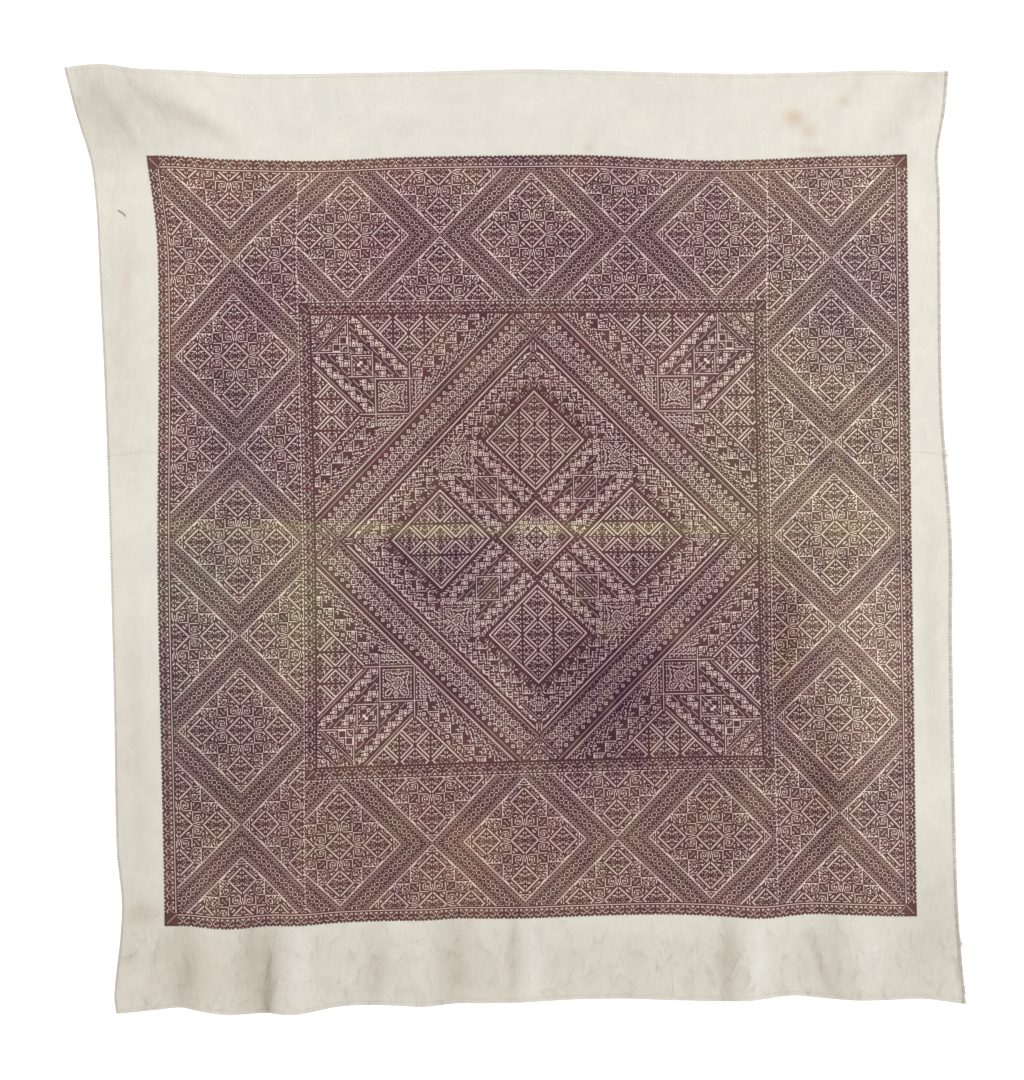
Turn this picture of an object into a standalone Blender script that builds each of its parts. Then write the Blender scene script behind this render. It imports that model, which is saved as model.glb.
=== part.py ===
"""Embroidered silk panel: two loom widths of cotton joined edge to edge, hanging by their top edge.

The panel hangs in the XZ plane with its worked side towards -Y and +Z up. The origin is the middle of
its top edge. Lengths are in metres; a drop is measured down from the origin.
"""
from bisect import bisect_right
from collections import namedtuple
from math import exp, pi, sin

import bmesh
import bpy

# Driving sizes
CLOTH_THICKNESS = 0.0015
SEAM_GAP = 0.0003
SEAM_SHARE = 0.412          # share of the panel's height above the seam
COLUMNS = 44
UPPER_ROWS = 18
LOWER_ROWS = 27

# Corners of the hanging panel, left and right as seen from the front
TOP_LEFT = (-0.693, 0.008)
TOP_RIGHT = (0.693, 0.002)
FOOT_LEFT = (-0.607, -1.473)
FOOT_RIGHT = (0.715, -1.457)

SideRow = namedtuple("SideRow", "drop reach")
HemRow = namedtuple("HemRow", "across drop")
Fold = namedtuple("Fold", "name top_x top_drop foot_x foot_drop half_width rise opens_at")

# How far the sides stand from the centre line: the cloth is drawn in below its pinned corners
LEFT_SIDE = (
    SideRow(-0.008, 0.693),
    SideRow(0.061, 0.675),
    SideRow(0.155, 0.648),
    SideRow(0.358, 0.635),
    SideRow(0.601, 0.624),
    SideRow(0.984, 0.612),
    SideRow(1.219, 0.607),
    SideRow(1.297, 0.599),
    SideRow(1.354, 0.601),
    SideRow(1.444, 0.610),
    SideRow(1.473, 0.607),
)
RIGHT_SIDE = (
    SideRow(-0.002, 0.693),
    SideRow(0.061, 0.687),
    SideRow(0.125, 0.676),
    SideRow(0.194, 0.679),
    SideRow(0.515, 0.682),
    SideRow(0.734, 0.696),
    SideRow(0.895, 0.696),
    SideRow(1.164, 0.700),
    SideRow(1.316, 0.704),
    SideRow(1.457, 0.715),
)

# The swagged top edge and the wavy foot
TOP_EDGE = (
    HemRow(-0.693, -0.008),
    HemRow(-0.640, -0.014),
    HemRow(-0.588, -0.008),
    HemRow(-0.479, -0.002),
    HemRow(-0.400, 0.003),
    HemRow(-0.088, -0.002),
    HemRow(0.038, -0.005),
    HemRow(0.366, 0.002),
    HemRow(0.590, -0.003),
    HemRow(0.693, -0.002),
)
FOOT_EDGE = (
    HemRow(-0.607, 1.473),
    HemRow(-0.516, 1.466),
    HemRow(-0.482, 1.471),
    HemRow(-0.355, 1.476),
    HemRow(-0.254, 1.462),
    HemRow(-0.119, 1.462),
    HemRow(0.152, 1.451),
    HemRow(0.335, 1.454),
    HemRow(0.449, 1.445),
    HemRow(0.529, 1.454),
    HemRow(0.637, 1.448),
    HemRow(0.715, 1.457),
)

# Folds that hang from the pinned corners, cross the worked field and open out at the foot.
# A rise is towards the front; a trough has a negative one. A fold is fullest where it opens.
FOLDS = (
    Fold("left corner pull", -0.642, 0.006, -0.575, 0.180, 0.024, -0.009, "top"),
    Fold("left shoulder pull", -0.575, 0.016, -0.350, 0.220, 0.032, -0.012, "top"),
    Fold("left shoulder ridge", -0.630, 0.060, -0.400, 0.300, 0.034, 0.010, "middle"),
    Fold("right corner pull", 0.655, 0.000, 0.500, 0.190, 0.028, -0.012, "top"),
    Fold("right shoulder ridge", 0.665, 0.060, 0.570, 0.280, 0.032, 0.009, "middle"),
    Fold("left margin hollow", -0.605, 0.160, -0.585, 0.680, 0.026, -0.008, "middle"),
    Fold("long pull from the left", -0.500, 0.150, -0.310, 0.510, 0.040, -0.010, "middle"),
    Fold("left field trough", -0.468, 0.340, -0.400, 0.740, 0.034, -0.010, "middle"),
    Fold("left field ridge", -0.520, 0.560, -0.560, 1.250, 0.048, 0.011, "middle"),
    Fold("right field ridge", 0.555, 0.500, 0.560, 1.380, 0.048, 0.018, "middle"),
    Fold("right field crease", 0.360, 0.690, 0.510, 1.260, 0.036, -0.015, "middle"),
    Fold("right foot ridge", 0.400, 0.850, 0.388, 1.480, 0.038, 0.020, "foot"),
    Fold("right foot trough", 0.450, 1.150, 0.522, 1.480, 0.034, -0.015, "foot"),
    Fold("right margin ridge", 0.600, 1.100, 0.614, 1.480, 0.038, 0.012, "foot"),
    Fold("centre foot ridge", 0.030, 1.050, 0.036, 1.480, 0.042, 0.008, "foot"),
    Fold("centre foot trough", -0.070, 1.000, -0.078, 1.480, 0.032, -0.013, "foot"),
    Fold("left centre ridge", -0.118, 1.050, -0.130, 1.480, 0.032, 0.010, "foot"),
    Fold("left foot ridge", -0.306, 0.900, -0.314, 1.480, 0.042, 0.018, "foot"),
    Fold("left foot trough", -0.370, 0.980, -0.380, 1.480, 0.032, -0.020, "foot"),
    Fold("outer left ridge", -0.438, 1.050, -0.440, 1.480, 0.032, 0.010, "foot"),
    Fold("outer left trough", -0.498, 1.050, -0.502, 1.480, 0.032, -0.016, "foot"),
)

# The whole sheet bows a little: its sides and its foot stand forward of its middle
SIDE_BOW = 0.012
FOOT_SWING = 0.014
HALF_WIDTH = 0.693
PANEL_HEIGHT = 1.473


def read_row_table(rows, at):
    """Value at a place in a two-column table, along a smooth curve through its rows."""
    keys = [row[0] for row in rows]
    values = [row[1] for row in rows]
    last = len(rows) - 1
    at = min(max(at, keys[0]), keys[last])
    left = min(max(bisect_right(keys, at) - 1, 0), last - 1)
    right = left + 1

    def slope(index):
        before = max(index - 1, 0)
        after = min(index + 1, last)
        return (values[after] - values[before]) / (keys[after] - keys[before])

    span = keys[right] - keys[left]
    t = (at - keys[left]) / span
    from_left = (1 + 2 * t) * (1 - t) ** 2 * values[left] + t * (1 - t) ** 2 * span * slope(left)
    from_right = t * t * (3 - 2 * t) * values[right] - t * t * (1 - t) * span * slope(right)
    return from_left + from_right


def mix(first, second, share):
    """Straight blend of two numbers."""
    return first + (second - first) * share


def outline_point(across, down):
    """Place of a point of the cloth as seen from the front, from its share across and down."""
    left_drop = mix(-TOP_LEFT[1], -FOOT_LEFT[1], down)
    right_drop = mix(-TOP_RIGHT[1], -FOOT_RIGHT[1], down)
    left_x = -read_row_table(LEFT_SIDE, left_drop)
    right_x = read_row_table(RIGHT_SIDE, right_drop)
    top_x = mix(TOP_LEFT[0], TOP_RIGHT[0], across)
    foot_x = mix(FOOT_LEFT[0], FOOT_RIGHT[0], across)
    top_bulge = -read_row_table(TOP_EDGE, top_x) - mix(TOP_LEFT[1], TOP_RIGHT[1], across)
    foot_bulge = -read_row_table(FOOT_EDGE, foot_x) - mix(FOOT_LEFT[1], FOOT_RIGHT[1], across)
    x = mix(left_x, right_x, across)
    z = -mix(left_drop, right_drop, across)
    z += mix(top_bulge, foot_bulge, down)
    return x, z


def fold_height(fold, x, drop):
    """How far one fold lifts the cloth at a point: fullest where it opens, soft across its line."""
    run_x = fold.foot_x - fold.top_x
    run_drop = fold.foot_drop - fold.top_drop
    length_squared = run_x ** 2 + run_drop ** 2
    share = ((x - fold.top_x) * run_x + (drop - fold.top_drop) * run_drop) / length_squared
    share = min(max(share, 0.0), 1.0)
    off_x = x - (fold.top_x + share * run_x)
    off_drop = drop - (fold.top_drop + share * run_drop)
    distance_squared = off_x ** 2 + off_drop ** 2
    fullness = {
        "top": 1.0 - share * share * (3 - 2 * share),
        "foot": share * share * (3 - 2 * share),
        "middle": sin(pi * share),
    }[fold.opens_at]
    return fold.rise * fullness * exp(-distance_squared / fold.half_width ** 2)


def cloth_depth(x, drop):
    """Depth of the cloth's front face: the bow of the sheet and all its folds, forward being -Y."""
    forward = SIDE_BOW * (x / HALF_WIDTH) ** 2 * min(max(drop / PANEL_HEIGHT, 0.0), 1.0)
    forward += FOOT_SWING * min(max(drop / PANEL_HEIGHT, 0.0), 1.0) ** 2
    for fold in FOLDS:
        forward += fold_height(fold, x, drop)
    return -forward


def cloth_finish(name, colour):
    """Worked cotton: a matt cloth with the soft lift of silk stitching."""
    material = bpy.data.materials.new(name)
    material.use_nodes = True
    shader = material.node_tree.nodes["Principled BSDF"]
    shader.inputs["Base Color"].default_value = colour
    shader.inputs["Roughness"].default_value = 0.8
    shader.inputs["Metallic"].default_value = 0.0
    return material


def make_width(name, rows, top_share, foot_share, top_trim, foot_trim, colour):
    """One loom width of cloth: a closed sheet between two shares of the panel's height."""
    mesh = bmesh.new()
    fronts = []
    backs = []
    for row in range(rows + 1):
        down = mix(top_share, foot_share, row / rows)
        trim = -top_trim if row == 0 else foot_trim if row == rows else 0.0
        front_row = []
        back_row = []
        for column in range(COLUMNS + 1):
            x, z = outline_point(column / COLUMNS, down)
            y = cloth_depth(x, -z)
            front_row.append(mesh.verts.new((x, y, z + trim)))
            back_row.append(mesh.verts.new((x, y + CLOTH_THICKNESS, z + trim)))
        fronts.append(front_row)
        backs.append(back_row)

    for row in range(rows):
        for column in range(COLUMNS):
            for sheet in (fronts, backs):
                mesh.faces.new((
                    sheet[row][column],
                    sheet[row + 1][column],
                    sheet[row + 1][column + 1],
                    sheet[row][column + 1],
                ))

    front_rim = fronts[0] + [row[-1] for row in fronts[1:]]
    front_rim += fronts[-1][-2::-1] + [row[0] for row in fronts[-2:0:-1]]
    back_rim = backs[0] + [row[-1] for row in backs[1:]]
    back_rim += backs[-1][-2::-1] + [row[0] for row in backs[-2:0:-1]]
    for index, front in enumerate(front_rim):
        following = (index + 1) % len(front_rim)
        mesh.faces.new((front, front_rim[following], back_rim[following], back_rim[index]))

    bmesh.ops.triangulate(mesh, faces=mesh.faces[:], quad_method="FIXED")
    bmesh.ops.recalc_face_normals(mesh, faces=mesh.faces[:])
    data = bpy.data.meshes.new(name)
    mesh.to_mesh(data)
    mesh.free()
    data.shade_smooth()
    data.set_sharp_from_angle(angle=1.0)
    cloth = bpy.data.objects.new(name, data)
    data.materials.append(cloth_finish(name, colour))
    bpy.context.scene.collection.objects.link(cloth)
    return cloth


def main():
    for old in list(bpy.data.objects):
        bpy.data.objects.remove(old, do_unlink=True)
    half_gap = SEAM_GAP / 2
    make_width("upper_cloth", UPPER_ROWS, 0.0, SEAM_SHARE, 0.0, half_gap, (0.34, 0.26, 0.24, 1.0))
    make_width("lower_cloth", LOWER_ROWS, SEAM_SHARE, 1.0, half_gap, 0.0, (0.32, 0.25, 0.23, 1.0))


main()
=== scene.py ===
"""Embroidered silk panel, dressed: thin cotton in two loom widths, counted silk stitches on both faces,
the whipped seam and side edges, the narrow hems, and the studio that it hangs in.

Lengths are in metres. A drop is measured down from the middle of the top edge. A stitch place is a
column across and a row down, counted from the worked field's top left corner.
"""
from collections import namedtuple
from math import pi

import bpy
import numpy as np
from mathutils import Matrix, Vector


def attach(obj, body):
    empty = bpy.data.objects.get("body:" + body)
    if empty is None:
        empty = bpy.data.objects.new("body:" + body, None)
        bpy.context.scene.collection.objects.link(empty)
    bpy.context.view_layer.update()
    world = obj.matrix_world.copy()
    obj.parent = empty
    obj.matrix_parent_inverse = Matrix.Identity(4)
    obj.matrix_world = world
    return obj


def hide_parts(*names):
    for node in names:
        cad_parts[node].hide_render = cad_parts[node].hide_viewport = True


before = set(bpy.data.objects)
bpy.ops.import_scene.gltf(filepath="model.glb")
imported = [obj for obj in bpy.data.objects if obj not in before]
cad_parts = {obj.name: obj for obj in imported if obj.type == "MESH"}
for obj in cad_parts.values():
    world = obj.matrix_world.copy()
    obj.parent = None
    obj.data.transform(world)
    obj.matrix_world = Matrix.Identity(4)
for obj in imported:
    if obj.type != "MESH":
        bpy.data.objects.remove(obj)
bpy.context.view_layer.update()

# The hanging sheet, as in the solids
SEAM_SHARE = 0.412
TOP_LEFT = (-0.693, 0.008)
TOP_RIGHT = (0.693, 0.002)
FOOT_LEFT = (-0.607, -1.473)
FOOT_RIGHT = (0.715, -1.457)
SIDE_BOW = 0.012
FOOT_SWING = 0.014
HALF_WIDTH = 0.693
PANEL_HEIGHT = 1.473


def table(columns, *rows):
    """A table with named columns."""
    row = namedtuple("Row", columns)
    return [row(*values) for values in rows]


LEFT_SIDE = table(
    "drop reach",
    (-0.008, 0.693), (0.061, 0.675), (0.155, 0.648), (0.358, 0.635), (0.601, 0.624), (0.984, 0.612),
    (1.219, 0.607), (1.297, 0.599), (1.354, 0.601), (1.444, 0.61), (1.473, 0.607),
)
RIGHT_SIDE = table(
    "drop reach",
    (-0.002, 0.693), (0.061, 0.687), (0.125, 0.676), (0.194, 0.679), (0.515, 0.682), (0.734, 0.696),
    (0.895, 0.696), (1.164, 0.7), (1.316, 0.704), (1.457, 0.715),
)
TOP_EDGE = table(
    "across drop",
    (-0.693, -0.008), (-0.64, -0.014), (-0.588, -0.008), (-0.479, -0.002), (-0.4, 0.003), (-0.088, -0.002),
    (0.038, -0.005), (0.366, 0.002), (0.59, -0.003), (0.693, -0.002),
)
FOOT_EDGE = table(
    "across drop",
    (-0.607, 1.473), (-0.516, 1.466), (-0.482, 1.471), (-0.355, 1.476), (-0.254, 1.462), (-0.119, 1.462),
    (0.152, 1.451), (0.335, 1.454), (0.449, 1.445), (0.529, 1.454), (0.637, 1.448), (0.715, 1.457),
)

# The main folds, as in the solids. A rise is towards the front
FOLD_COLUMNS = "name top_x top_drop foot_x foot_drop half_width rise opens_at"
FOLDS = table(
    FOLD_COLUMNS,
    ("left corner pull", -0.642, 0.006, -0.575, 0.18, 0.024, -0.009, "top"),
    ("left shoulder pull", -0.575, 0.016, -0.35, 0.22, 0.032, -0.012, "top"),
    ("left shoulder ridge", -0.63, 0.06, -0.4, 0.3, 0.034, 0.01, "middle"),
    ("right corner pull", 0.655, 0.0, 0.5, 0.19, 0.028, -0.012, "top"),
    ("right shoulder ridge", 0.665, 0.06, 0.57, 0.28, 0.032, 0.009, "middle"),
    ("left margin hollow", -0.605, 0.16, -0.585, 0.68, 0.026, -0.008, "middle"),
    ("long pull from the left", -0.5, 0.15, -0.31, 0.51, 0.04, -0.01, "middle"),
    ("left field trough", -0.468, 0.34, -0.4, 0.74, 0.034, -0.01, "middle"),
    ("left field ridge", -0.52, 0.56, -0.56, 1.25, 0.048, 0.011, "middle"),
    ("right field ridge", 0.555, 0.5, 0.56, 1.38, 0.048, 0.018, "middle"),
    ("right field crease", 0.36, 0.69, 0.51, 1.26, 0.036, -0.015, "middle"),
    ("right foot ridge", 0.4, 0.85, 0.388, 1.48, 0.038, 0.02, "foot"),
    ("right foot trough", 0.45, 1.15, 0.522, 1.48, 0.034, -0.015, "foot"),
    ("right margin ridge", 0.6, 1.1, 0.614, 1.48, 0.038, 0.012, "foot"),
    ("centre foot ridge", 0.03, 1.05, 0.036, 1.48, 0.042, 0.008, "foot"),
    ("centre foot trough", -0.07, 1.0, -0.078, 1.48, 0.032, -0.013, "foot"),
    ("left centre ridge", -0.118, 1.05, -0.13, 1.48, 0.032, 0.01, "foot"),
    ("left foot ridge", -0.306, 0.9, -0.314, 1.48, 0.042, 0.018, "foot"),
    ("left foot trough", -0.37, 0.98, -0.38, 1.48, 0.032, -0.02, "foot"),
    ("outer left ridge", -0.438, 1.05, -0.44, 1.48, 0.032, 0.01, "foot"),
    ("outer left trough", -0.498, 1.05, -0.502, 1.48, 0.032, -0.016, "foot"),
)

# Finer creases that only the thin cotton takes
CREASES = table(
    FOLD_COLUMNS,
    ("top left pucker", -0.638, 0.015, -0.572, 0.13, 0.009, -0.004, "middle"),
    ("top left long pucker", -0.575, 0.025, -0.4, 0.12, 0.013, -0.0045, "middle"),
    ("top left inner ridge", -0.6, 0.012, -0.5, 0.11, 0.012, 0.003, "middle"),
    ("top right pucker", 0.61, 0.004, 0.56, 0.1, 0.012, 0.0025, "top"),
    ("top right inner pucker", 0.56, 0.0, 0.5, 0.09, 0.01, -0.002, "top"),
    ("right margin crease", 0.66, 0.65, 0.668, 1.15, 0.014, -0.0025, "middle"),
    ("left margin crease", -0.588, 0.75, -0.572, 1.25, 0.012, -0.002, "middle"),
    ("foot crease by the right trough", 0.466, 1.325, 0.518, 1.465, 0.007, -0.0042, "middle"),
    ("foot crease by the left trough", -0.362, 1.335, -0.374, 1.47, 0.009, -0.0055, "foot"),
    ("foot crease left of centre", -0.18, 1.34, -0.205, 1.465, 0.01, -0.0022, "foot"),
    ("foot crease right of centre", 0.21, 1.335, 0.19, 1.455, 0.012, -0.0022, "foot"),
    ("foot crease far right", 0.3, 1.335, 0.285, 1.455, 0.011, -0.002, "foot"),
    ("foot crease far left", -0.545, 1.345, -0.56, 1.47, 0.01, -0.0025, "foot"),
)

COTTON_THICKNESS = 0.0008
COTTON_COLUMNS = 250
UPPER_ROWS = 112
LOWER_ROWS = 158


def read_rows(keys, values, at):
    """Values at many places along a smooth curve through a table's rows."""
    keys = np.asarray(keys, float)
    values = np.asarray(values, float)
    slopes = np.empty_like(values)
    slopes[0] = (values[1] - values[0]) / (keys[1] - keys[0])
    slopes[-1] = (values[-1] - values[-2]) / (keys[-1] - keys[-2])
    middle_spans = (keys[2:] - keys[:-2]).reshape((-1,) + (1,) * (values.ndim - 1))
    slopes[1:-1] = (values[2:] - values[:-2]) / middle_spans
    at = np.clip(at, keys[0], keys[-1])
    left = np.clip(np.searchsorted(keys, at, side="right") - 1, 0, len(keys) - 2)
    span = keys[left + 1] - keys[left]
    t = (at - keys[left]) / span
    if values.ndim > 1:
        span = span[:, None]
        t = t[:, None]
    from_left = (1 + 2 * t) * (1 - t) ** 2 * values[left] + t * (1 - t) ** 2 * span * slopes[left]
    from_right = t * t * (3 - 2 * t) * values[left + 1] - t * t * (1 - t) * span * slopes[left + 1]
    return from_left + from_right


def read_table(rows, at):
    """Values at many places along a two-column table."""
    return read_rows([row[0] for row in rows], [row[1] for row in rows], at)


def mix(first, second, share):
    """Straight blend of two numbers."""
    return first + (second - first) * share


def soft_step(share):
    """A share from 0 to 1 that starts and ends gently."""
    return share * share * (3 - 2 * share)


def outline_points(across, down):
    """Places of the cloth's points as seen from the front, from their shares across and down."""
    left_drop = mix(-TOP_LEFT[1], -FOOT_LEFT[1], down)
    right_drop = mix(-TOP_RIGHT[1], -FOOT_RIGHT[1], down)
    left_x = -read_table(LEFT_SIDE, left_drop)
    right_x = read_table(RIGHT_SIDE, right_drop)
    top_x = mix(TOP_LEFT[0], TOP_RIGHT[0], across)
    foot_x = mix(FOOT_LEFT[0], FOOT_RIGHT[0], across)
    top_bulge = -read_table(TOP_EDGE, top_x) - mix(TOP_LEFT[1], TOP_RIGHT[1], across)
    foot_bulge = -read_table(FOOT_EDGE, foot_x) - mix(FOOT_LEFT[1], FOOT_RIGHT[1], across)
    x = mix(left_x, right_x, across)
    drop = mix(left_drop, right_drop, across) - mix(top_bulge, foot_bulge, down)
    return x, drop


def fold_height(fold, x, drop):
    """How far one fold lifts the cloth: fullest where it opens, soft across its line."""
    run_x = fold.foot_x - fold.top_x
    run_drop = fold.foot_drop - fold.top_drop
    share = ((x - fold.top_x) * run_x + (drop - fold.top_drop) * run_drop) / (run_x ** 2 + run_drop ** 2)
    share = np.clip(share, 0.0, 1.0)
    off_x = x - (fold.top_x + share * run_x)
    off_drop = drop - (fold.top_drop + share * run_drop)
    opening = {"top": 1.0 - soft_step(share), "foot": soft_step(share), "middle": np.sin(pi * share)}
    fullness = opening[fold.opens_at]
    return fold.rise * fullness * np.exp(-(off_x ** 2 + off_drop ** 2) / fold.half_width ** 2)


def cloth_depth(x, drop):
    """Depth of the cotton's front face, forward being -Y."""
    down = np.clip(drop / PANEL_HEIGHT, 0.0, 1.0)
    forward = SIDE_BOW * (x / HALF_WIDTH) ** 2 * down + FOOT_SWING * down ** 2
    for fold in FOLDS + CREASES:
        forward = forward + fold_height(fold, x, drop)
    return -forward


# Where the worked field lies: places on seven counted rows, as pulled out of square by the stitching
FIELD_ROWS = {row: table("column x drop", *points) for row, points in {
    0: (
        (0, -0.563, 0.132), (30, -0.513, 0.132), (67, -0.437, 0.136), (135, -0.304, 0.139),
        (220, -0.157, 0.133), (327, 0.038, 0.13), (380, 0.135, 0.13), (475, 0.308, 0.138),
        (519, 0.388, 0.137), (600, 0.531, 0.131), (655, 0.628, 0.13),
    ),
    67: (
        (0, -0.548, 0.258), (67, -0.434, 0.257), (135, -0.308, 0.256), (327, 0.04, 0.253),
        (519, 0.388, 0.253), (655, 0.63, 0.254),
    ),
    135: (
        (0, -0.545, 0.386), (67, -0.428, 0.385), (135, -0.306, 0.382), (327, 0.041, 0.378),
        (519, 0.387, 0.377), (655, 0.632, 0.378),
    ),
    327: (
        (0, -0.545, 0.737), (67, -0.421, 0.736), (135, -0.298, 0.736), (327, 0.047, 0.729),
        (519, 0.393, 0.726), (655, 0.635, 0.721),
    ),
    519: (
        (0, -0.538, 1.092), (67, -0.416, 1.09), (135, -0.295, 1.088), (327, 0.052, 1.077),
        (519, 0.399, 1.069), (655, 0.639, 1.073),
    ),
    587: (
        (0, -0.536, 1.214), (67, -0.415, 1.216), (135, -0.294, 1.213), (327, 0.054, 1.203),
        (519, 0.401, 1.196), (655, 0.64, 1.199),
    ),
    655: (
        (0, -0.534, 1.338), (67, -0.412, 1.342), (145, -0.274, 1.333), (327, 0.055, 1.325),
        (430, 0.243, 1.32), (519, 0.403, 1.324), (560, 0.477, 1.32), (655, 0.641, 1.321),
    ),
}.items()}
STITCHES = 655


def field_points():
    """Front place (x, drop) of every corner between stitches, rows down and columns across."""
    counts = np.arange(STITCHES + 1, dtype=float)
    grids = []
    for part in (1, 2):
        lines = []
        for points in FIELD_ROWS.values():
            lines.append(read_rows([p[0] for p in points], [p[part] for p in points], counts))
        grids.append(read_rows(list(FIELD_ROWS), lines, counts))
    return grids


# Charts of the small repeats, counted one by one. An x is a silk stitch, a dot is bare cotton and a dash
# leaves what is there
BARE, SILK = 0, 1
SMALL_DIAMOND = """
xxx.xxxxxxx..
xxxxx.xxxx..
x.xx.xx.x..
x.x.xxxx..
xx....x..
xxxxxx..
x.xxx..
x.xx..
xxx..
xx..
x..
x.
x
""".split()
# One framed square beside the corners: rings and curls along two sides of a dark middle
SUB_SQUARE = """
...x...x..
.x.x.x.x.x
...x...x..
xxxxxxxxxx
x.xxxxx.x.
xx.xxxx...
xxx.xxxxx.
xxxx.xx.x.
xxxxx.x...
xxxxxx.xxx
""".split()
# The great band's motif: boxed eyes and hooks in step, with dark squares between
BAND_MOTIF = """
.....x.x.xxx
.xxx..xx.x.x
.x.x.x..x...
.xxx.x.x.xxx
.....xxx.x.x
x.xxxx.xxx.x
x.x.xx.....x
.xxx.x.xxx..
xxxxxx.x.x.x
.xxx...xxx.x
x.x.xx.....x
xx.xxxxx.xxx
""".split()
# A quarter of a flower cell, from its corner to its middle
FLOWER = """
..x..x..x..x..
.xxxxxxxxxxx.x
.x......xxxx..
xx.xxxx..xx.x.
.x.x..xx..x..x
.x.x.x.xx.xx..
xx.xx...x..xx.
.x..xxxx.x.x.x
.xx..x.x..xx..
xxx.xx..x.x..x
.xx.xxxx..x.x.
xxx..xx..x.x.x
.x.x.xx.x.x.xx
..x..x..x.x...
""".split()
# One heart of the border and its neighbours, from the cloth's side inwards; it repeats along the edge
BORDER = """
.xx.xx.xx.xx.
xxxxxxxxxxxxx
xx...xxx...xx
x.xxx.x.xxx.x
xxxxx.x.xxxxx
xxxx.xxx.xxxx
x.x.xx.xx.x.x
x..xx...xx..x
xxxxxxxxxxxxx
.............
xxxxxxxxxxxxx
""".split()
# Small curls and rings that fill whatever the larger motifs leave free, four stitches square
CURLS = [rows.split() for rows in (
    "...x .x.x ...x xxxx",
    "..xx .x.x .x.. xx.x",
    "x..x x.xx ..x. x.x.",
    ".x.x ...x xx.x ..xx",
)]
SHAPES = {shape: rows.split() for shape, rows in {
    "dot": ".",
    "eye": "... .x. ...",
    "dark square": "xxxxxxx " * 7,
    "small dark square": "xxxxx " * 5,
    "boxed square": "....... .xxxxx. .xxxxx. .xxxxx. .xxxxx. .xxxxx. .......",
    "upright bar": ". " * 5,
    "hook": "--. --. ...",
    "long hook": "----. ----. ---.. .--.- ...--",
    "comb": """
-.....-
.------
.-...--
.----.-
.------
.-....-
.------
.------
""",
    "arch": """
..........x
.x...x.xx..
.x.x.x.xxx.
.x...x.xxxx
.xxxx.xxxxx
.x...xxxxxx
.xx.xxxxxxx
.xxxxxxxxxx
.x.xxxxxxxx
x..xxxxxxxx
xx.xxxxxxxx
""",
    "sprig": "-.--.- .-.--. --.--. -..--. .--..- -.-...-",
    "posy": """
x....xxxx.
xxxxxx....
x.xxxxxxx.
xxxx....x.
x.xxx.xxx.
xx.x.x....
xx.x.x.x..
x..x.x....
.xxxxxxxx.
..........
""",
    "octagon": """
---......-
-..xxxxx..
.xx...xxx.
.x.xx.xx.x
.x.x..x.xx
.x.xxxx.x.
.xx....xx.
.xxxxxxxx.
.xxxxxxx..
.........x
""",
    "wide octagon": """
xxxx.x.x.x.xxx
xx.xxxxxxxxx.x
x.xx...xxx..xx
.xx.xx.x.xx.x.
.x.xx..xx.x.x.
.x.xxx.xxx.xx.
.xx...xx.x..x.
.xxxxx.x.xx.x.
.x..xx.x..xx.x
.............x
""",
}.items()}

# Places in the field, in stitches: its centre, the middle square and the lattices round it
CENTRE = 327
CONTENT_HALF = 192
HALF_PERIOD = 80
SQUARE_START, SQUARE_END = 124, 530
BORDER_DEPTH = 10


def chart_array(rows):
    """A chart as numbers, padded with silk."""
    width = max(len(row) for row in rows)
    marks = {".": BARE, "x": SILK}
    return np.array([[marks[mark] for mark in row.ljust(width, "x")] for row in rows])


SMALL = chart_array(SMALL_DIAMOND)
EDGE = chart_array(BORDER)
SQUARE = chart_array(SUB_SQUARE)
PETALS = chart_array(FLOWER)
MOTIF = chart_array(BAND_MOTIF)
CURL_CHARTS = np.array([chart_array(rows) for rows in CURLS])


def look_up(chart, row, column):
    """Chart marks at many places; outside the chart there is silk."""
    inside = (row >= 0) & (row < chart.shape[0]) & (column >= 0) & (column < chart.shape[1])
    found = chart[np.clip(row, 0, chart.shape[0] - 1), np.clip(column, 0, chart.shape[1] - 1)]
    return np.where(inside, found, SILK)


def curls(x, y):
    """The filling of curls, each square with another of the four."""
    size = len(CURLS[0])
    i = x // size
    j = y // size
    kind = (3 * i + 5 * j + i * j // 2) % len(CURLS)
    return CURL_CHARTS[kind, y % size, x % size]


def stamp(board, shape, x, y):
    """Works one small chart on the board, centred on a stitch."""
    rows = SHAPES[shape]
    top = round(y) - len(rows) // 2
    left = round(x) - len(rows[0]) // 2
    for down, line in enumerate(rows, top):
        for over, mark in enumerate(line, left):
            if mark != "-" and 0 <= down < board.shape[0] and 0 <= over < board.shape[1]:
                board[down, over] = BARE if mark == "." else SILK


def stroke(board, x, y, to_x, to_y):
    """One bare line, straight or at 45 degrees."""
    steps = max(abs(to_x - x), abs(to_y - y))
    for share in np.linspace(0.0, 1.0, steps + 1):
        over = round(mix(x, to_x, share))
        down = round(mix(y, to_y, share))
        if 0 <= down < board.shape[0] and 0 <= over < board.shape[1]:
            board[down, over] = BARE


def mirror_diagonal(board):
    """Makes the board's lower left half the mirror of its upper right half."""
    return np.where(np.tri(len(board), k=-1, dtype=bool), board.T, board)


# A row of shapes: where its first one lies, the step to the next and how many there are
Row = namedtuple("Row", "shape x y step_x step_y count", defaults=(0, 0, 1))


def with_margin(bare):
    """The bare stitches and those beside them, which keep a motif apart from the filling."""
    padded = np.pad(bare, 1)
    rows, columns = bare.shape
    near = [padded[down:down + rows, over:over + columns] for down in range(3) for over in range(3)]
    return np.logical_or.reduce(near)


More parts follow.
